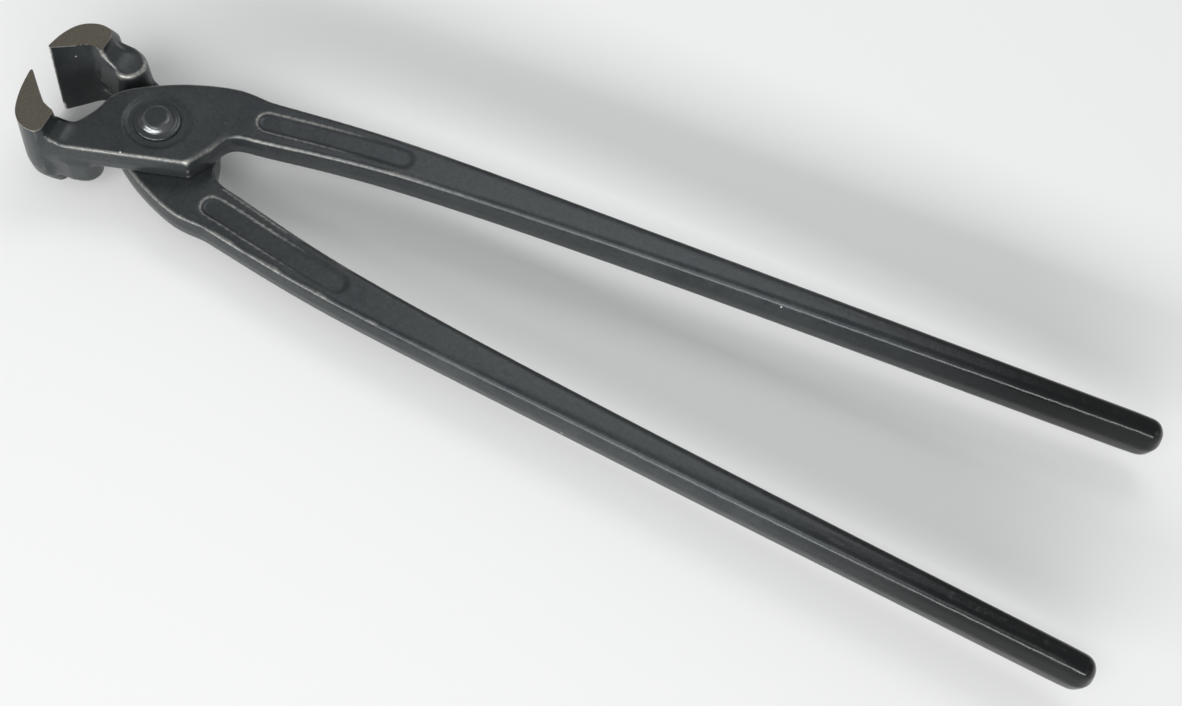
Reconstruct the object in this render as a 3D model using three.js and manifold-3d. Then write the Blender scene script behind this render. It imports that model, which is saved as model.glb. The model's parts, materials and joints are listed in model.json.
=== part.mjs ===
// Concreters' nippers: two drop-forged levers that cross at one rivet, lying on their side with the jaws open.
// Millimetres, +Z up, jaws towards -X and handles towards +X. Each lever is drawn with the jaws closed, the
// rivet's axis at the origin and the cutting edge on the X axis, then swung open by half the opening.
import * as THREE from "three";
import { mergeVertices } from "three/addons/utils/BufferGeometryUtils.js";
import Module from "manifold-3d";

// Overall sizes, from the rivet's axis
const jawReach = 30.6; // to the cutting edges
const handleReach = 249.2; // to the ends of the handles
const jawWidth = 25.4; // length of each cutting edge
const openingDegrees = 12; // between the two levers as they lie

// Lap joint
const plateThickness = 7; // one lever's plate, half of the joint
const lapGap = 0.3; // between the two plates
const plateEdgeDistance = 11; // from the rivet's axis to the plate's straight edge
const plateEdgeDegrees = 12.3; // slope of that edge
const plateHeel = 9; // from the foot of the axis on that edge to the heel corner
const throatPlan = [[14.9, -3], [17, 1], [19.6, 2.4]]; // the plate's end and the throat under the handle
const backPlan = [[14.4, 16.2], [4.7, 14], [-3.9, 10.4], [-12.2, 4.9], [-15.1, -2.1], [-17.8, -6.6]];
const gapFloor = 8.8; // the jaw gap's floor where the plate enters the jaw
const shoulderProud = 0.4; // of the jaw's shoulder above the neighbour's plate
const spotFaceRadius = 7.9; // round the rivet, on each plate
const spotFaceDepth = 0.35;

// Handle sections: at the neck, at the bow, in the middle and at the end
const neckReach = 23;
const neckOffset = 9.2; // of the handle's middle line from the X axis
const neckWidth = 12.9;
const bowReach = 61;
const bowOffset = 11.4;
const bowWidth = 11;
const bowThickness = 7.9;
const middleReach = 132;
const middleOffset = 10;
const middleWidth = 8.9;
const middleThickness = 9.7;
const endOffset = 6;
const endWidth = 7.4;
const endThickness = 12.6;

// Forged edges
const faceEdgeRadius = 0.9; // along the outer face, at the joint
const lapEdgeRadius = 0.9; // along the lap side, at the joint
const endEdgeRadius = 2.9; // all round the handle's end
const noseLength = 6.2; // over which the handle's end rounds off
const noseDrop = 3.1; // of each face at the tip
const draftDegrees = 5; // of the walls, from the parting line to each face

// Jaw, on the plate side and on the lap side: each curve is in shares of the length and the depth beside it
const crescentLength = 9.8; // ground side face, from the cutting edge back to its heel
const jawDepth = 16.4; // from the cutting edge down to the jaw's back
const hollowDepth = 9.8; // from the cutting edge down to the floor of the jaw gap
const backShape = [[0, 0], [0.03, 0.4], [0.18, 0.77], [0.46, 0.957], [0.82, 1], [0.96, 0.9]];
const hollowShape = [[1, 1], [0.62, 0.81], [0.4, 0.52], [0, 0]];
const lapCrescentLength = 10.9;
const lapJawDepth = 11.7;
const lapHollowDepth = 6.2;
const lapBackShape = [[0, 0], [0.05, 0.41], [0.22, 0.76], [0.535, 0.975], [0.84, 1], [0.965, 0.87]];
const lapHollowShape = [[1, 1], [0.685, 0.985], [0.375, 0.5], [0, 0]];
const backDraw = 3; // power by which the back draws in from the lap to the lap side face
const backLevels = [-1, -0.8, -0.55, -0.25, 0, 1]; // heights across the jaw, in shares of half its width
const rootDepth = 1.8; // of the plate's, the shoulder's and the fillets' roots inside the jaw

// Fillets from the jaw's wall down to the plate and to the shoulder: their ends in plan, at the wall and at the foot
const plateFilletWall = [[-21.3, -15.3], [-20.9, -9.6]];
const plateFilletFoot = [[-17.2, -14.4], [-16.9, -7.3]];
const plateFilletHeight = 4.4; // above the plate
const shoulderFilletWall = [[-20.6, -11], [-19.9, -6.4]];
const shoulderFilletFoot = [[-14.1, -12.9], [-14.5, -6.6]];
const shoulderFilletHeight = 5; // above the shoulder

// The jaw's shoulder beside the neighbour's plate
const shoulderPlan = [
  [-16.4, -14.5],
  [-12.7, -13.4],
  [-11, -10.5],
  [-11.9, -7.2],
  [-14.4, -5.5],
  [-17.2, -6.2],
];
const shoulderBack = 14; // where its two edges enter the jaw
const shoulderFront = 6.9;
const shoulderEdgeRadius = 0.6;
const shoulderFlare = 0.7; // of its wall, down to the plate
const shoulderRoot = 1; // inside the plate

// Panel for a name, sunk in both faces of each handle and left bare
const panelStart = 21.4; // on the outer face
const lapPanelStart = 18.4;
const panelEnd = 60;
const panelWidth = 5.6;
const panelDepth = 0.5; // at the joint
const panelEndDepth = 0.2; // towards the handle's end
const panelDraft = 0.5;

// Rivet
const shankRadius = 4;
const shankClearance = 0.08;
const headClearance = 0.12; // under each head
const headBaseRadius = 5.6;
const headStepHeight = 0.6;
const headRadius = 4.15;
const headHeight = 2.1;
const headTopRadius = 2.6; // of the flat on top
const headEdge = 0.3; // rounding of the step and of the flat
const headBulge = 0.15; // of the flank between them

// Fineness
const handleSteps = 44;
const edgeSteps = 3;
const roundSides = 48;
const curveSteps = 6; // to a stretch between two points of an outline
const panelSteps = 8;
const filletSteps = 6;
const endSides = 10; // of a half round
const overshoot = 2; // of a cut past the face

const wasm = await Module();
wasm.setup();

const point = (x, y) => new THREE.Vector2(x, y);
const points = (pairs) => pairs.map(([x, y]) => point(x, y));

function solid(geometry) {
  const bare = geometry.clone();
  bare.deleteAttribute("normal");
  bare.deleteAttribute("uv");
  const merged = mergeVertices(bare, 1e-4);
  return new wasm.Manifold(
    new wasm.Mesh({
      numProp: 3,
      vertProperties: new Float32Array(merged.attributes.position.array),
      triVerts: new Uint32Array(merged.index.array),
    }),
  );
}

function geometryOf(body) {
  const mesh = body.getMesh();
  const geometry = new THREE.BufferGeometry();
  geometry.setAttribute("position", new THREE.BufferAttribute(mesh.vertProperties, mesh.numProp));
  geometry.setIndex(new THREE.BufferAttribute(mesh.triVerts, 1));
  geometry.computeVertexNormals();
  return geometry;
}

// A closed body from rings that have the same number of points, the lowest first.
function ringsToGeometry(rings) {
  const count = rings[0].length;
  const positions = rings.flat().flatMap((p) => [p.x, p.y, p.z]);
  const index = [];
  for (let ring = 0; ring + 1 < rings.length; ring++) {
    for (let i = 0; i < count; i++) {
      const a = ring * count + i;
      const b = ring * count + ((i + 1) % count);
      index.push(a, b, b + count, a, b + count, a + count);
    }
  }
  const top = (rings.length - 1) * count;
  for (const [a, b, c] of THREE.ShapeUtils.triangulateShape(rings[0], [])) index.push(a, c, b);
  for (const [a, b, c] of THREE.ShapeUtils.triangulateShape(rings.at(-1), [])) {
    index.push(top + a, top + b, top + c);
  }
  const geometry = new THREE.BufferGeometry();
  geometry.setAttribute("position", new THREE.Float32BufferAttribute(positions, 3));
  geometry.setIndex(index);
  return geometry;
}

// How far a corner of a counter-clockwise outline moves so that both of its sides move in by one.
function mitres(outline) {
  const sideNormal = (a, b) => point(b.y - a.y, a.x - b.x).normalize();
  return outline.map((p, i) => {
    const before = sideNormal(outline.at(i - 1), p);
    const after = sideNormal(p, outline[(i + 1) % outline.length]);
    return before.clone().add(after).divideScalar(1 + before.dot(after));
  });
}

// A body with the given plan outline; each level gives its inset at a plan point, and its height where the inset ends.
function stackedSolid(outline, levels) {
  const normals = mitres(outline);
  const rings = levels.map((level) =>
    outline.map((p, i) => {
      const moved = p.clone().addScaledVector(normals[i], -level(p).inset);
      return new THREE.Vector3(moved.x, moved.y, level(moved).z);
    }),
  );
  return solid(ringsToGeometry(rings));
}

const spline = (points) => new THREE.SplineCurve(points).getPoints((points.length - 1) * curveSteps);

// The handle's middle line, width and thickness at a share of the way from the neck to the end.
const alongHandle = (neck, bow, middle, end) =>
  new THREE.SplineCurve([
    point(neckReach, neck),
    point(bowReach, bow),
    point(middleReach, middle),
    point(handleReach - endWidth / 2, end),
  ]);
const offsetCurve = alongHandle(neckOffset, bowOffset, middleOffset, endOffset);
const widthCurve = alongHandle(neckWidth, bowWidth, middleWidth, endWidth);
const neckThickness = plateThickness - lapGap / 2;
const thicknessCurve = alongHandle(neckThickness, bowThickness, middleThickness, endThickness);

function handleShare(x) {
  let low = 0;
  let high = 1;
  for (let i = 0; i < 24; i++) {
    const share = (low + high) / 2;
    if (offsetCurve.getPoint(share).x < x) low = share;
    else high = share;
  }
  return low;
}

const outwardness = (x) => THREE.MathUtils.clamp((x - neckReach) / (handleReach - neckReach), 0, 1);
const thicknessAt = (x) => thicknessCurve.getPoint(handleShare(x)).y;
// How far both faces have come in at the handle's rounded end.
function noseInset(x) {
  const share = THREE.MathUtils.clamp((x - handleReach + noseLength) / noseLength, 0, 1);
  return noseDrop * (1 - Math.sqrt(1 - share * share));
}

const straightFace = (x) => THREE.MathUtils.lerp(plateThickness, endThickness / 2, outwardness(x));
const faceHeight = (x) => straightFace(x) - noseInset(x);
const lapHeight = (x) => straightFace(x) - thicknessAt(x) + noseInset(x);
const edgeRadius = (atJoint, x) => THREE.MathUtils.lerp(atJoint, endEdgeRadius, outwardness(x));

// Both long edges of the handle, as point pairs square to its middle line.
function handleEdges() {
  const inner = [];
  const outer = [];
  for (let step = 0; step <= handleSteps; step++) {
    const share = step / handleSteps;
    const middle = offsetCurve.getPoint(share);
    const along = offsetCurve.getTangent(share);
    const across = point(-along.y, along.x).multiplyScalar(widthCurve.getPoint(share).y / 2);
    inner.push(middle.clone().sub(across));
    outer.push(middle.clone().add(across));
  }
  return { inner, outer };
}

// The handle's end in plan: a half round that reaches handleReach.
function roundEnd(inner, outer) {
  const centre = inner.clone().add(outer).divideScalar(2);
  const spoke = inner.clone().sub(centre);
  return Array.from({ length: endSides - 1 }, (_, i) =>
    spoke.clone().rotateAround(point(0, 0), (Math.PI * (i + 1)) / endSides).add(centre),
  );
}

// Plan outline of plate and handle in one, counter-clockwise from the jaw along the straight edge.
function barOutline() {
  const slope = THREE.MathUtils.degToRad(plateEdgeDegrees);
  const along = point(Math.cos(slope), Math.sin(slope));
  const foot = point(Math.sin(slope), -Math.cos(slope)).multiplyScalar(plateEdgeDistance);
  const rootX = crescentLength - rootDepth - jawReach;
  const root = foot.clone().addScaledVector(along, (rootX - foot.x) / along.x);
  const heel = foot.clone().addScaledVector(along, plateHeel);
  const { inner, outer } = handleEdges();
  // Both curves run on along the handle, so that they meet it smoothly; the run-on is left out again.
  const throat = spline([...points(throatPlan), inner[0], inner[2]]);
  const back = spline([outer[2], outer[0], ...points(backPlan)]);
  return [
    root,
    heel,
    ...throat.slice(0, -curveSteps),
    ...inner.slice(1),
    ...roundEnd(inner.at(-1), outer.at(-1)),
    ...outer.reverse(),
    ...back.slice(curveSteps + 1),
    point(rootX, -gapFloor),
  ];
}

// Levels of a forged wall: rounded lap edge, parting line, rounded face edge.
function forgedLevels(lower, upper, lowerRadius, upperRadius) {
  const draft = Math.tan(THREE.MathUtils.degToRad(draftDegrees));
  const wallInset = (p) => (draft * (upper(p.x) - lower(p.x))) / 2;
  const levels = [];
  for (let step = 0; step <= edgeSteps; step++) {
    const angle = (Math.PI / 2) * (step / edgeSteps);
    levels.push((p) => ({
      inset: wallInset(p) + lowerRadius(p.x) * (1 - Math.sin(angle)),
      z: lower(p.x) + lowerRadius(p.x) * (1 - Math.cos(angle)),
    }));
  }
  levels.push((p) => ({ inset: 0, z: (lower(p.x) + upper(p.x)) / 2 }));
  for (let step = 0; step <= edgeSteps; step++) {
    const angle = (Math.PI / 2) * (step / edgeSteps);
    levels.push((p) => ({
      inset: wallInset(p) + upperRadius(p.x) * (1 - Math.cos(angle)),
      z: upper(p.x) - upperRadius(p.x) * (1 - Math.sin(angle)),
    }));
  }
  return levels;
}

function bar() {
  const lapEdge = (x) => edgeRadius(lapEdgeRadius, x);
  const faceEdge = (x) => edgeRadius(faceEdgeRadius, x);
  return stackedSolid(barOutline(), forgedLevels(lapHeight, faceHeight, lapEdge, faceEdge));
}

// A plan curve of the jaw from its shape, the crescent's length and its own depth.
const jawCurve = (shape, length, depth) =>
  spline(shape.map(([along, down]) => point(along * length - jawReach, -down * depth)));

function jaw() {
  const back = jawCurve(backShape, crescentLength, jawDepth);
  const lapBack = jawCurve(lapBackShape, lapCrescentLength, lapJawDepth);
  const hollow = jawCurve(hollowShape, crescentLength, hollowDepth);
  const lapHollow = jawCurve(lapHollowShape, lapCrescentLength, lapHollowDepth);
  const mix = (a, b, share) => a.map((p, i) => p.clone().lerp(b[i], share));
  const rings = backLevels.map((level) => {
    const drawnIn = Math.max(0, -level) ** backDraw;
    const acrossWidth = (1 - level) / 2;
    const outline = [...mix(back, lapBack, drawnIn), ...mix(hollow, lapHollow, acrossWidth).slice(0, -1)];
    return outline.map((p) => new THREE.Vector3(p.x, p.y, (level * jawWidth) / 2));
  });
  return solid(ringsToGeometry(rings));
}

// The jaw's shoulder on the lap side, beside the neighbour's plate.
function shoulder() {
  const root = lapCrescentLength - rootDepth - jawReach;
  const outline = [point(root, -shoulderBack), ...spline(points(shoulderPlan)), point(root, -shoulderFront)];
  const height = plateThickness + shoulderProud;
  const levels = [];
  for (let step = 0; step <= edgeSteps; step++) {
    const angle = (Math.PI / 2) * (step / edgeSteps);
    levels.push(() => ({
      inset: shoulderEdgeRadius * (1 - Math.sin(angle)),
      z: shoulderEdgeRadius * (1 - Math.cos(angle)) - height,
    }));
  }
  levels.push(() => ({ inset: -shoulderFlare, z: lapGap / 2 }));
  levels.push(() => ({ inset: -shoulderFlare, z: lapGap / 2 + shoulderRoot }));
  return stackedSolid(outline, levels);
}

// A concave fillet on the jaw's wall, from the foot on the lower face up to the wall, in heights from the mid-plane.
function rootFillet(wall, foot, bottom, height) {
  const [wallBack, wallHollow] = points(wall);
  const [footBack, footHollow] = points(foot);
  const ring = (share, z) => {
    const back = wallBack.clone().lerp(footBack, share);
    const hollow = wallHollow.clone().lerp(footHollow, share);
    const inside = [point(wallHollow.x - rootDepth, hollow.y), point(wallBack.x - rootDepth, back.y)];
    return [back, hollow, ...inside].map((p) => new THREE.Vector3(p.x, p.y, z));
  };
  const rings = [ring(1, bottom - shoulderRoot)];
  for (let step = 0; step <= filletSteps; step++) {
    const angle = (Math.PI / 2) * (step / filletSteps);
    rings.push(ring(1 - Math.sin(angle), bottom + height * (1 - Math.cos(angle))));
  }
  return rings;
}

function fillets() {
  const shoulderHeight = plateThickness + shoulderProud;
  const plateRings = rootFillet(plateFilletWall, plateFilletFoot, plateThickness, plateFilletHeight);
  const lapRings = rootFillet(shoulderFilletWall, shoulderFilletFoot, shoulderHeight, shoulderFilletHeight);
  const turnedOver = lapRings.reverse().map((ring) => ring.map((p) => p.setZ(-p.z)));
  return solid(ringsToGeometry(plateRings)).add(solid(ringsToGeometry(turnedOver)));
}

// Plan outline of the sunk panel: along the handle's middle line, with round ends.
function panelOutline(start) {
  const first = start + panelWidth / 2;
  const last = panelEnd - panelWidth / 2;
  const lower = [];
  const upper = [];
  for (let step = 0; step <= panelSteps; step++) {
    const x = THREE.MathUtils.lerp(first, last, step / panelSteps);
    const middle = offsetCurve.getPoint(handleShare(x)).y;
    lower.push(point(x, middle - panelWidth / 2));
    upper.push(point(x, middle + panelWidth / 2));
  }
  return [
    ...lower,
    ...roundEnd(lower.at(-1), upper.at(-1)),
    ...upper.reverse(),
    ...roundEnd(upper.at(-1), lower[0]),
  ];
}

function panels() {
  const depth = (x) => THREE.MathUtils.mapLinear(x, lapPanelStart, panelEnd, panelDepth, panelEndDepth);
  const face = stackedSolid(panelOutline(panelStart), [
    (p) => ({ inset: panelDraft, z: faceHeight(p.x) - depth(p.x) }),
    (p) => ({ inset: 0, z: faceHeight(p.x) }),
    (p) => ({ inset: 0, z: faceHeight(p.x) + overshoot }),
  ]);
  const lap = stackedSolid(panelOutline(lapPanelStart), [
    (p) => ({ inset: 0, z: lapHeight(p.x) - overshoot }),
    (p) => ({ inset: 0, z: lapHeight(p.x) }),
    (p) => ({ inset: panelDraft, z: lapHeight(p.x) + depth(p.x) }),
  ]);
  return face.add(lap);
}

// Half profiles are (radius, height) pairs turned round the rivet's axis.
function turned(profile) {
  const geometry = new THREE.LatheGeometry(profile.map(([r, z]) => point(r, z)), roundSides);
  return geometry.rotateX(Math.PI / 2);
}

function rivetHole() {
  const radius = shankRadius + shankClearance;
  const spotFloor = plateThickness - spotFaceDepth;
  const above = plateThickness + overshoot;
  const below = -overshoot;
  return solid(
    turned([
      [0, below],
      [radius, below],
      [radius, spotFloor],
      [spotFaceRadius - spotFaceDepth, spotFloor],
      [spotFaceRadius, plateThickness],
      [spotFaceRadius, above],
      [0, above],
    ]),
  );
}

function leverGeometry() {
  return geometryOf(bar().add(shoulder()).add(jaw()).add(fillets()).subtract(rivetHole()).subtract(panels()));
}

// Half of the rivet's profile, from the lap upwards; the other head is the same.
function rivetGeometry() {
  const seat = plateThickness - spotFaceDepth + headClearance;
  const step = seat + headStepHeight;
  const top = seat + headHeight;
  const flank = (headRadius + headTopRadius) / 2 + headBulge;
  const lip = headEdge / 2; // by which the flank's upper end lies under the flat
  const upper = [
    [shankRadius, seat],
    [headBaseRadius, seat],
    [headBaseRadius, step - headEdge],
    [headBaseRadius - headEdge, step],
    [headRadius, step],
    [flank, (step + top) / 2],
    [headTopRadius, top - lip],
    [headTopRadius - headEdge, top],
    [0, top],
  ];
  const lower = upper.map(([r, z]) => [r, -z]).reverse();
  return turned([...lower, ...upper]);
}

const forgedSteel = new THREE.MeshStandardMaterial({ color: 0x41494a, roughness: 0.5, metalness: 0.75 });
const rivetSteel = new THREE.MeshStandardMaterial({ color: 0x4a5051, roughness: 0.42, metalness: 0.8 });

const swing = THREE.MathUtils.degToRad(openingDegrees / 2);
const lever = leverGeometry();

const frontLever = new THREE.Mesh(lever, forgedSteel);
frontLever.name = "front_lever";
frontLever.rotation.set(0, 0, swing);

// The same forging turned over about the X axis.
const rearLever = new THREE.Mesh(lever.clone(), forgedSteel.clone());
rearLever.name = "rear_lever";
rearLever.rotation.set(Math.PI, 0, swing);

const rivet = new THREE.Mesh(rivetGeometry(), rivetSteel);
rivet.name = "pivot_rivet";

// The frame's origin is at the middle of the nippers' length and width, level with the lowest jaw faces.
const nippers = new THREE.Group();
const assembly = new THREE.Group();
assembly.add(frontLever, rearLever, rivet);
assembly.updateMatrixWorld(true);
const box = new THREE.Box3().setFromObject(assembly, true);
const middle = box.getCenter(new THREE.Vector3());
assembly.position.set(-middle.x, -middle.y, -box.min.z);
nippers.add(assembly);

export default nippers;
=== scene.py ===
# Concreters' nippers, lying on their side with the jaws a little open: two forged levers and a rivet.
import json
from math import cos, pi, sin

import bmesh
import bpy
import numpy as np
from mathutils import Matrix, Vector
from mathutils.kdtree import KDTree


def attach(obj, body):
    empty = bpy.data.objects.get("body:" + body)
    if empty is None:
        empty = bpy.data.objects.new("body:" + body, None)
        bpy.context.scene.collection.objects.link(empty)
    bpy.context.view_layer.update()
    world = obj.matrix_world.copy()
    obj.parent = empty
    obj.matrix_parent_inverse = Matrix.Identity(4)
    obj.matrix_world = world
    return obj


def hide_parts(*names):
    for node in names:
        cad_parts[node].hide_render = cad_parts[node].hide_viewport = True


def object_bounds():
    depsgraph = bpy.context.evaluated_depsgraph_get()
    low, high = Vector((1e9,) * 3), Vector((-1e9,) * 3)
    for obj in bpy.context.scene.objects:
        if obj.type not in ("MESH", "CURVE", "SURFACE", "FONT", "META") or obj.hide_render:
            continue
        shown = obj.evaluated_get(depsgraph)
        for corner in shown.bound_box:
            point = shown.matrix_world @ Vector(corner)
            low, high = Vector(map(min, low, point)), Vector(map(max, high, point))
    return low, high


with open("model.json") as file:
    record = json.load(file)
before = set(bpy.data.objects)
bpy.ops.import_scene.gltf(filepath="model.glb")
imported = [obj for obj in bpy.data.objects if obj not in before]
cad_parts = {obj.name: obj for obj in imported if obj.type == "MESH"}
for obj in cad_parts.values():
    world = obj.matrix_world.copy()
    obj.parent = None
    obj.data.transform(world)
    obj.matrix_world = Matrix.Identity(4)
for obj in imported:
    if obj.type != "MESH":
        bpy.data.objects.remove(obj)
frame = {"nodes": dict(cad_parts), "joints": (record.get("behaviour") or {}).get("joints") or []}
cad_box = [list(corner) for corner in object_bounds()]

# Forged levers
# Each lever is one drop forging in tool steel: jaw, joint plate and handle. The dies leave soft edges and
# filleted inner corners; the jaw's two side faces are then ground flat, and the whole lever is blackened in
# a hot oxide bath.
mm = 0.001
pivot = Vector(frame["joints"][0]["pos_m"])
voxel = 0.4 * mm
weld_distance = 0.002 * mm
grinding_allowance = 1.5 * mm
ground_bottom, ground_top = 0.0, cad_box[1][2]
face_margin = 0.02 * mm


def neighbour_mean(values, edges, counts):
    """Mean of a value over each vertex's neighbours."""
    total = np.zeros_like(values)
    np.add.at(total, edges[:, 0], values[edges[:, 1]])
    np.add.at(total, edges[:, 1], values[edges[:, 0]])
    return total / counts[:, None]


def raw_forging(node):
    """The lever's solid before grinding, as an even mesh: the side faces of the jaw still stand proud."""
    mesh = frame["nodes"][node].data.copy()
    solid = bmesh.new()
    solid.from_mesh(mesh)
    bmesh.ops.remove_doubles(solid, verts=solid.verts, dist=weld_distance)
    for vertex in solid.verts:
        if vertex.co.z < ground_bottom + face_margin:
            vertex.co.z -= grinding_allowance
        if vertex.co.z > ground_top - face_margin:
            vertex.co.z += grinding_allowance
    solid.to_mesh(mesh)
    solid.free()
    blank = bpy.data.objects.new("blank", mesh)
    bpy.context.collection.objects.link(blank)
    remesh = blank.modifiers.new("even skin", "REMESH")
    remesh.mode = "VOXEL"
    remesh.voxel_size = voxel
    evaluated = blank.evaluated_get(bpy.context.evaluated_depsgraph_get())
    shaped = bpy.data.meshes.new_from_object(evaluated)
    bpy.data.objects.remove(blank)
    return shaped


# A level face's normal is upright by at least the first share, a panel wall's by less than the second.
level, sloping = 0.995, 0.9
panel_reach = (16 * mm, 56 * mm)
rim_step = 0.2 * mm


def panel_rims(node):
    """Points along the upper edges of the sunk panels, where a level face turns down into a sloping wall."""
    solid = bmesh.new()
    solid.from_mesh(frame["nodes"][node].data)
    bmesh.ops.remove_doubles(solid, verts=solid.verts, dist=weld_distance)
    solid.normal_update()
    points = []
    for edge in solid.edges:
        tilts = sorted(abs(face.normal.z) for face in edge.link_faces)
        start, end = (corner.co for corner in edge.verts)
        beside_panel = panel_reach[0] < start.x - pivot.x < panel_reach[1]
        turns_down = len(tilts) == 2 and tilts[1] > level and tilts[0] < sloping
        if beside_panel and turns_down and edge.is_convex:
            steps = 1 + int((end - start).length / rim_step)
            points += [start.lerp(end, i / steps) for i in range(steps + 1)]
    solid.free()
    rim = KDTree(len(points))
    for i, point in enumerate(points):
        rim.insert(point, i)
    rim.balance()
    return rim


head_end = pivot.x - 9 * mm
fillet_passes = 26
fillet_share = 0.9
settling_passes = 2
settling_share = 0.4
handle_settling_passes = 14
handle_start = 62 * mm
handle_blend = 25 * mm
sharp_edge = 0.16 * voxel
blunt_share = 0.15
edge_mark_spread = 3
edge_mark_gain = 2.0
rim_width = 0.25 * mm
rim_fade = 20 * mm
rim_wear_and_highlight = 0.42


def soften(mesh, rim):
    """Fillets the inner corners of the head, settles the skin, and notes the rubbed edges and panel rims,
    with a painted highlight laid along them.
    """
    count = len(mesh.vertices)
    places = np.empty(count * 3)
    mesh.vertices.foreach_get("co", places)
    places = places.reshape(-1, 3)
    ends = np.empty(len(mesh.edges) * 2, dtype=np.int64)
    mesh.edges.foreach_get("vertices", ends)
    edges = ends.reshape(-1, 2)
    counts = np.bincount(ends, minlength=count).astype(float)

    def outward():
        """The skin's normals at its present places."""
        mesh.vertices.foreach_set("co", places.ravel())
        mesh.update()
        normals = np.empty(count * 3)
        mesh.vertex_normals.foreach_get("vector", normals)
        return normals.reshape(-1, 3)

    def hollow():
        """How far each point lies below its neighbours; less than nothing on an edge."""
        rise = neighbour_mean(places, edges, counts) - places
        return np.sum(rise * outward(), axis=1)

    in_head = (places[:, 0] < head_end).astype(float)
    for _ in range(fillet_passes):
        filling = np.maximum(hollow(), 0) * in_head
        places += fillet_share * filling[:, None] * outward()
    on_handle = np.clip((places[:, [0]] - pivot.x - handle_start) / handle_blend, 0, 1)
    for turn in range(handle_settling_passes):
        share = settling_share if turn < settling_passes else settling_share * on_handle
        places += share * (neighbour_mean(places, edges, counts) - places)
    # Rubbed edges and painted highlight: convex edges are marked for a paler colour, spread to carry the
    # bright line that light draws along the rounding.
    stands_out = np.clip(-hollow() / sharp_edge - blunt_share, 0, 1)[:, None]
    for _ in range(edge_mark_spread):
        stands_out = neighbour_mean(stands_out, edges, counts)
    on_edge = np.clip(edge_mark_gain * stands_out, 0, 1).ravel()
    from_rim = np.array([rim.find(spot)[2] for spot in places])
    # Light rubbing and painted highlight: a pale line along the sunk panels' rims, fading towards the
    # handle.
    on_rim_wear_and_highlight = rim_wear_and_highlight * np.clip(1 - (from_rim - rim_width) / rim_width, 0, 1)
    on_rim_wear_and_highlight *= np.clip((pivot.x + panel_reach[1] - places[:, 0]) / rim_fade, 0, 1)
    # The per-point mark of rubbed edges and painted edge highlight.
    wear = mesh.attributes.new("edge_wear_and_highlight", "FLOAT", "POINT")
    wear.data.foreach_set("value", np.maximum(on_edge, on_rim_wear_and_highlight))


cut_margin = 0.001 * mm
ground_rim_wear = 0.8
ground_slot = 1


def grind(mesh):
    """Takes the grinding allowance off the jaw's side faces, which leaves them flat with crisp edges."""
    lever = bmesh.new()
    lever.from_mesh(mesh)
    for face in lever.faces:
        face.smooth = True
    wear = lever.verts.layers.float["edge_wear_and_highlight"]
    for height, side in ((ground_bottom, -1), (ground_top, 1)):
        cut = bmesh.ops.bisect_plane(
            lever,
            geom=lever.verts[:] + lever.edges[:] + lever.faces[:],
            dist=cut_margin,
            plane_co=Vector((0, 0, height)),
            plane_no=(0, 0, side),
            clear_outer=True,
        )
        rim = [item for item in cut["geom_cut"] if isinstance(item, bmesh.types.BMEdge)]
        for corner in {corner for edge in rim for corner in edge.verts}:
            corner[wear] = ground_rim_wear
        made = bmesh.ops.holes_fill(lever, edges=rim, sides=0)["faces"]
        for face in made:
            face.smooth = False
            face.material_index = ground_slot
            for edge in face.edges:
                edge.smooth = False
        bmesh.ops.triangulate(lever, faces=made)
    lever.to_mesh(mesh)
    lever.free()


def colour(code):
    """An sRGB hex colour as linear values."""
    parts = [int(code[i:i + 2], 16) / 255 for i in (1, 3, 5)]
    return [c / 12.92 if c <= 0.04045 else ((c + 0.055) / 1.055) ** 2.4 for c in parts] + [1.0]


def add(tree, kind, inputs=(), **settings):
    """Adds a shader node; an input is a value or another node's output."""
    node = tree.nodes.new(kind)
    for key, value in settings.items():
        setattr(node, key, value)
    for key, value in dict(inputs).items():
        if isinstance(value, bpy.types.NodeSocket):
            tree.links.new(value, node.inputs[key])
        else:
            node.inputs[key].default_value = value
    return node


def new_finish(name):
    """An empty material, its node tree and the place on the object that its patterns follow."""
    finish = bpy.data.materials.new(name)
    finish.use_nodes = True
    finish.node_tree.nodes.clear()
    tree = finish.node_tree
    place = add(tree, "ShaderNodeTexCoord").outputs["Object"]
    return finish, tree, place


# Black oxide on forged tool steel: a thin, slightly green-grey coat that lets the forged skin show through.
# The eye sees a dull dark grey with cloudy patches, a fine orange-peel grain, paler metal where edges have
# rubbed, with a painted highlight also laid along the edges, small bright nicks, and painted shade that
# darkens the handles towards their ends, nearly black at the grips.
black_oxide, tree, place = new_finish("black oxide on forged steel")
# The mix node's colour sockets, by number: its share, the two colours and the result.
mix_share, mix_first, mix_second, mixed = 0, 6, 7, 2
cloud_size, grain_size, peel_size = 14 * mm, 0.9 * mm, 2.6 * mm
clouds = add(
    tree,
    "ShaderNodeTexNoise",
    {"Vector": place, "Scale": 1 / cloud_size, "Detail": 4.0, "Roughness": 0.6},
)
grain = add(
    tree,
    "ShaderNodeTexNoise",
    {"Vector": place, "Scale": 1 / grain_size, "Detail": 3.0, "Roughness": 0.65},
)
peel = add(tree, "ShaderNodeTexNoise", {"Vector": place, "Scale": 1 / peel_size, "Detail": 2.0})
patchy = add(
    tree,
    "ShaderNodeMapRange",
    {"Value": clouds.outputs["Fac"], "From Min": 0.35, "From Max": 0.65},
)
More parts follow.
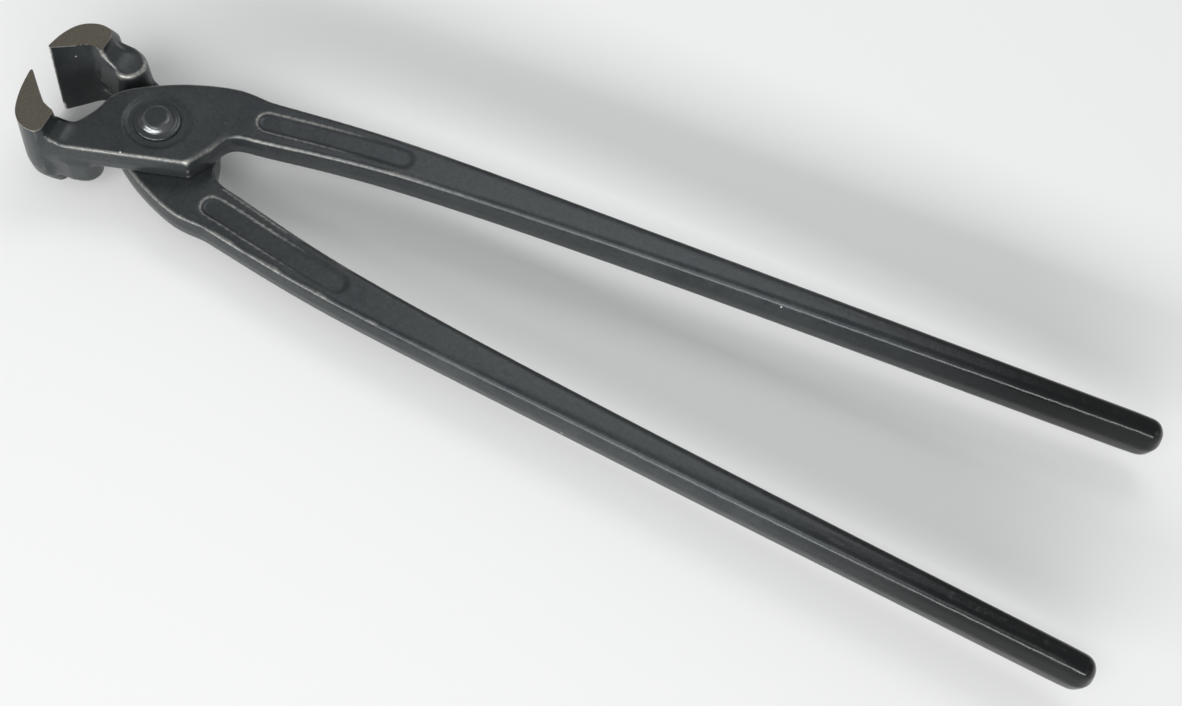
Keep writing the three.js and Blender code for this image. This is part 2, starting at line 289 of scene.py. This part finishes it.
# Painted shade: along the handles the colour darkens towards their ends, where the light falls off; the same
# ramp also lowers the roughness there.
grip_start, grip_end = 40 * mm, 115 * mm
along = add(tree, "ShaderNodeSeparateXYZ", {0: place})
end_shade_and_polish = add(
    tree,
    "ShaderNodeMapRange",
    {"Value": along.outputs["X"], "From Min": grip_start, "From Max": grip_end},
    interpolation_type="SMOOTHSTEP",
)
coat = add(
    tree,
    "ShaderNodeMix",
    {mix_share: patchy.outputs["Result"], mix_first: colour("#303436"), mix_second: colour("#3a3e3f")},
    data_type="RGBA",
)
# Painted shade: the coat is mixed towards near black along the handles' ends.
painted_end_shade = add(
    tree,
    "ShaderNodeMix",
    {mix_share: end_shade_and_polish.outputs["Result"], mix_first: coat.outputs[mixed], mix_second: colour("#111213")},
    data_type="RGBA",
)
speckle = add(
    tree,
    "ShaderNodeMapRange",
    {"Value": grain.outputs["Fac"], "From Min": 0.3, "From Max": 0.7, "To Min": 0.82, "To Max": 1.18},
)
mottled = add(
    tree,
    "ShaderNodeMix",
    {mix_share: 1.0, mix_first: painted_end_shade.outputs[mixed], mix_second: speckle.outputs["Result"]},
    data_type="RGBA",
    blend_type="MULTIPLY",
)
# Rubbed edges and painted highlight: the edge mark, broken up by the grain, mixes the coat towards pale
# metal along the edges.
edge_wear_and_highlight = add(tree, "ShaderNodeAttribute", attribute_name="edge_wear_and_highlight")
rubbed = add(
    tree,
    "ShaderNodeMapRange",
    {"Value": grain.outputs["Fac"], "From Min": 0.36, "From Max": 0.6, "To Min": 0.5, "To Max": 1.0},
)
worn_and_lit_edge = add(
    tree,
    "ShaderNodeMapRange",
    {"Value": edge_wear_and_highlight.outputs["Fac"], "From Min": 0.18, "From Max": 0.8},
)
bare_and_lit = add(
    tree,
    "ShaderNodeMath",
    {0: worn_and_lit_edge.outputs["Result"], 1: rubbed.outputs["Result"]},
    operation="MULTIPLY",
)
edge_lightening_cap = 0.85
edge_lightening_share = add(tree, "ShaderNodeMath", {0: bare_and_lit.outputs[0], 1: edge_lightening_cap}, operation="MULTIPLY")
nick_spacing = 8 * mm
nick_core, nick_edge = 0.02, 0.04
knocks = add(tree, "ShaderNodeTexVoronoi", {"Vector": place, "Scale": 1 / nick_spacing})
nicks = add(
    tree,
    "ShaderNodeMapRange",
    {
        "Value": knocks.outputs["Distance"],
        "From Min": nick_core,
        "From Max": nick_edge,
        "To Min": 1.0,
        "To Max": 0.0,
    },
)
bright = add(
    tree,
    "ShaderNodeMath",
    {0: edge_lightening_share.outputs[0], 1: nicks.outputs["Result"]},
    operation="MAXIMUM",
)
skin = add(
    tree,
    "ShaderNodeMix",
    {mix_share: bright.outputs[0], mix_first: mottled.outputs[mixed], mix_second: colour("#d2d0ca")},
    data_type="RGBA",
)
dullness = add(
    tree,
    "ShaderNodeMapRange",
    {"Value": clouds.outputs["Fac"], "From Min": 0.3, "From Max": 0.7, "To Min": 0.27, "To Max": 0.38},
)
grip_polish = -0.1
polish = add(
    tree,
    "ShaderNodeMath",
    {0: end_shade_and_polish.outputs["Result"], 1: grip_polish, 2: dullness.outputs["Result"]},
    operation="MULTIPLY_ADD",
)
peel_bump = add(
    tree,
    "ShaderNodeBump",
    {"Height": peel.outputs["Fac"], "Strength": 0.5, "Distance": 0.08 * mm},
)
grain_bump = add(
    tree,
    "ShaderNodeBump",
    {
        "Height": grain.outputs["Fac"],
        "Strength": 0.45,
        "Distance": 0.05 * mm,
        "Normal": peel_bump.outputs[0],
    },
)
shader = add(
    tree,
    "ShaderNodeBsdfPrincipled",
    {
        "Base Color": skin.outputs[mixed],
        "Metallic": 0.42,
        "Roughness": polish.outputs[0],
        "Normal": grain_bump.outputs[0],
    },
)
add(tree, "ShaderNodeOutputMaterial", {"Surface": shader.outputs[0]})

# Ground tool steel: the jaw's side faces were surface-ground before blackening and have rubbed nearly bare.
# The eye sees a warm, brownish mid grey with fine parallel grinding lines and small dark pits of leftover
# oxide.
ground_steel, tree, place = new_finish("ground tool steel")
wheel_turn = 0.5
line_length, line_pitch = 50 / 3 * mm, 0.25 * mm
pit_size = 0.5 * mm
along_wheel = add(
    tree,
    "ShaderNodeMapping",
    {
        "Vector": place,
        "Rotation": (0, 0, wheel_turn),
        "Scale": (1 / line_length, 1 / line_pitch, 1 / line_length),
    },
)
lines = add(tree, "ShaderNodeTexNoise", {"Vector": along_wheel.outputs[0], "Scale": 1.0, "Detail": 3.0})
pits = add(
    tree,
    "ShaderNodeTexNoise",
    {"Vector": place, "Scale": 1 / pit_size, "Detail": 3.0, "Roughness": 0.6},
)
pitted = add(tree, "ShaderNodeMapRange", {"Value": pits.outputs["Fac"], "From Min": 0.2, "From Max": 0.8})
face_tone = add(
    tree,
    "ShaderNodeMix",
    {mix_share: pitted.outputs["Result"], mix_first: colour("#57534a"), mix_second: colour("#716c61")},
    data_type="RGBA",
)
line_bump = add(
    tree,
    "ShaderNodeBump",
    {"Height": lines.outputs["Fac"], "Strength": 0.4, "Distance": 0.02 * mm},
)
shader = add(
    tree,
    "ShaderNodeBsdfPrincipled",
    {
        "Base Color": face_tone.outputs[mixed],
        "Metallic": 0.7,
        "Roughness": 0.5,
        "Normal": line_bump.outputs[0],
    },
)
add(tree, "ShaderNodeOutputMaterial", {"Surface": shader.outputs[0]})

for node, body in (("front_lever", "front"), ("rear_lever", "rear")):
    skin_mesh = raw_forging(node)
    skin_mesh.materials.clear()
    skin_mesh.materials.append(black_oxide)
    skin_mesh.materials.append(ground_steel)
    soften(skin_mesh, panel_rims(node))
    grind(skin_mesh)
    lever = bpy.data.objects.new(node + "_forging", skin_mesh)
    bpy.context.collection.objects.link(lever)
    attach(lever, body)
    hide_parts(node)

# Pivot rivet
# A steel rivet through both plates, its ends set to low heads: a flat collar, a conical flank and a
# flattened top. It is blackened with the levers, and use has rubbed its head smoother than the forging.
# The profile gives radius and height above the middle of the joint, in millimetres.
rivet_sides = 96
head_profile = [
    (4.0, 6.77), (5.5, 6.77), (5.6, 6.83), (5.6, 6.98), (5.55, 7.12), (5.45, 7.24), (5.3, 7.33),
    (5.1, 7.37), (4.6, 7.37), (4.36, 7.39), (4.2, 7.46), (4.08, 7.58), (3.86, 7.87), (3.63, 8.18),
    (3.4, 8.46), (3.2, 8.63), (2.95, 8.75), (2.65, 8.82), (2.2, 8.855), (1.4, 8.865), (0.7, 8.87),
]
head_middle = 8.87
turns = [2 * pi * i / rivet_sides for i in range(rivet_sides)]
rivet = bmesh.new()
rings = []
for radius, height in [(r, -h) for r, h in reversed(head_profile)] + head_profile:
    ring = [Vector((radius * cos(turn), radius * sin(turn), height)) for turn in turns]
    rings.append([rivet.verts.new(pivot + mm * corner) for corner in ring])
for lower, upper in zip(rings, rings[1:]):
    for i in range(rivet_sides):
        j = (i + 1) % rivet_sides
        rivet.faces.new((lower[i], lower[j], upper[j], upper[i])).smooth = True
for ring, height in ((rings[0], -head_middle), (rings[-1], head_middle)):
    middle = rivet.verts.new(pivot + mm * Vector((0, 0, height)))
    for i in range(rivet_sides):
        rivet.faces.new((ring[i], ring[(i + 1) % rivet_sides], middle)).smooth = True
bmesh.ops.recalc_face_normals(rivet, faces=rivet.faces)
rivet_mesh = bpy.data.meshes.new("set rivet")
rivet.to_mesh(rivet_mesh)
rivet.free()

# Rubbed black oxide: the same coat on a smooth, cold-set head. The eye sees a darker, glossier grey,
# smudged on top, with a paler ring painted round the flank as a painted highlight.
rubbed_oxide, tree, place = new_finish("rubbed black oxide")
smudge_size = 2.2 * mm
smudge = add(
    tree,
    "ShaderNodeTexNoise",
    {"Vector": place, "Scale": 1 / smudge_size, "Detail": 4.0, "Roughness": 0.6},
)
head_tone = add(
    tree,
    "ShaderNodeMix",
    {mix_share: smudge.outputs["Fac"], mix_first: colour("#34383a"), mix_second: colour("#4a4f50")},
    data_type="RGBA",
)
across = add(tree, "ShaderNodeVectorMath", {0: place, 1: (1, 1, 0)}, operation="MULTIPLY")
off_axis = add(
    tree,
    "ShaderNodeVectorMath",
    {0: across.outputs[0], 1: (pivot.x, pivot.y, 0)},
    operation="DISTANCE",
)
flank_radius = 3.5 * mm
flank_core, flank_edge = 0.5 * mm, 0.9 * mm
from_flank = add(
    tree,
    "ShaderNodeMath",
    {0: off_axis.outputs["Value"], 1: flank_radius},
    operation="SUBTRACT",
)
beside_flank = add(tree, "ShaderNodeMath", {0: from_flank.outputs[0]}, operation="ABSOLUTE")
flank = add(
    tree,
    "ShaderNodeMapRange",
    {
        "Value": beside_flank.outputs[0],
        "From Min": flank_core,
        "From Max": flank_edge,
        "To Min": 1.0,
        "To Max": 0.0,
    },
)
# Painted highlight: a paler ring on the rivet's flank stands in for the light caught there.
flank_highlight_tone = add(
    tree,
    "ShaderNodeMix",
    {mix_share: flank.outputs["Result"], mix_first: head_tone.outputs[mixed], mix_second: colour("#5c5e5e")},
    data_type="RGBA",
)
smudge_bump = add(
    tree,
    "ShaderNodeBump",
    {"Height": smudge.outputs["Fac"], "Strength": 0.4, "Distance": 0.06 * mm},
)
shader = add(
    tree,
    "ShaderNodeBsdfPrincipled",
    {
        "Base Color": flank_highlight_tone.outputs[mixed],
        "Metallic": 0.6,
        "Roughness": 0.2,
        "Normal": smudge_bump.outputs[0],
    },
)
add(tree, "ShaderNodeOutputMaterial", {"Surface": shader.outputs[0]})
rivet_mesh.materials.append(rubbed_oxide)
set_rivet = bpy.data.objects.new("set_rivet", rivet_mesh)
bpy.context.collection.objects.link(set_rivet)
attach(set_rivet, "rear")
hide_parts("pivot_rivet")

# Floor, light and camera
# A plain pale floor under a soft studio: a key panel in front, a low, wide, distant strip that draws the
# edges, a weak panel behind and even light from all round. The camera looks down on the tool from its
# handle side.
floor_mesh = bpy.data.meshes.new("pale floor")
reach = 4.0
floor_drop = 0.05 * mm
corners = [(-reach, -reach, 0), (reach, -reach, 0), (reach, reach, 0), (-reach, reach, 0)]
floor_mesh.from_pydata(corners, [], [(0, 1, 2, 3)])
pale, tree, _ = new_finish("pale paper")
shader = add(tree, "ShaderNodeBsdfPrincipled", {"Base Color": colour("#f4f4f3"), "Roughness": 0.9})
add(tree, "ShaderNodeOutputMaterial", {"Surface": shader.outputs[0]})
floor_mesh.materials.append(pale)
floor = bpy.data.objects.new("floor", floor_mesh)
floor.location.z = -floor_drop
bpy.context.collection.objects.link(floor)


def panel(name, place, aim, width, height, power):
    """A soft rectangular lamp, sizes in metres and power in watts."""
    lamp = bpy.data.lights.new(name, "AREA")
    lamp.shape = "RECTANGLE"
    lamp.size = width
    lamp.size_y = height
    lamp.energy = power
    holder = bpy.data.objects.new(name, lamp)
    holder.location = place
    holder.rotation_euler = (Vector(aim) - Vector(place)).to_track_quat("-Z", "Y").to_euler()
    bpy.context.collection.objects.link(holder)


panel("key panel", place=(-0.1, -0.6, 0.75), aim=(-0.03, 0, 0), width=0.6, height=0.4, power=2.0)
panel("back panel", place=(-0.05, 0.43, 0.75), aim=(0, 0, 0), width=0.45, height=0.3, power=0.85)
panel("front strip", place=(0.0, -3.0, 1.04), aim=(0, 0, 0), width=7.2, height=0.48, power=165.0)

world = bpy.data.worlds.new("studio")
bpy.context.scene.world = world
world.use_nodes = True
surroundings = world.node_tree.nodes["Background"]
surroundings.inputs["Color"].default_value = colour("#f2f4f6")
surroundings.inputs["Strength"].default_value = 0.46

camera = bpy.data.cameras.new("camera")
camera.sensor_width = 36
camera.lens = 52.55
camera.clip_start = 0.01
viewpoint = pivot + mm * Vector((149.178, -195.693, 352.461))
right = Vector((0.91411, 0.38693, 0.12117))
up = Vector((-0.39696, 0.79315, 0.46188))
back = right.cross(up)
eye = bpy.data.objects.new("camera", camera)
eye.matrix_world = Matrix.Translation(viewpoint) @ Matrix((right, up, back)).transposed().to_4x4()
bpy.context.collection.objects.link(eye)
bpy.context.scene.camera = eye
bpy.context.scene.view_settings.view_transform = "Standard"
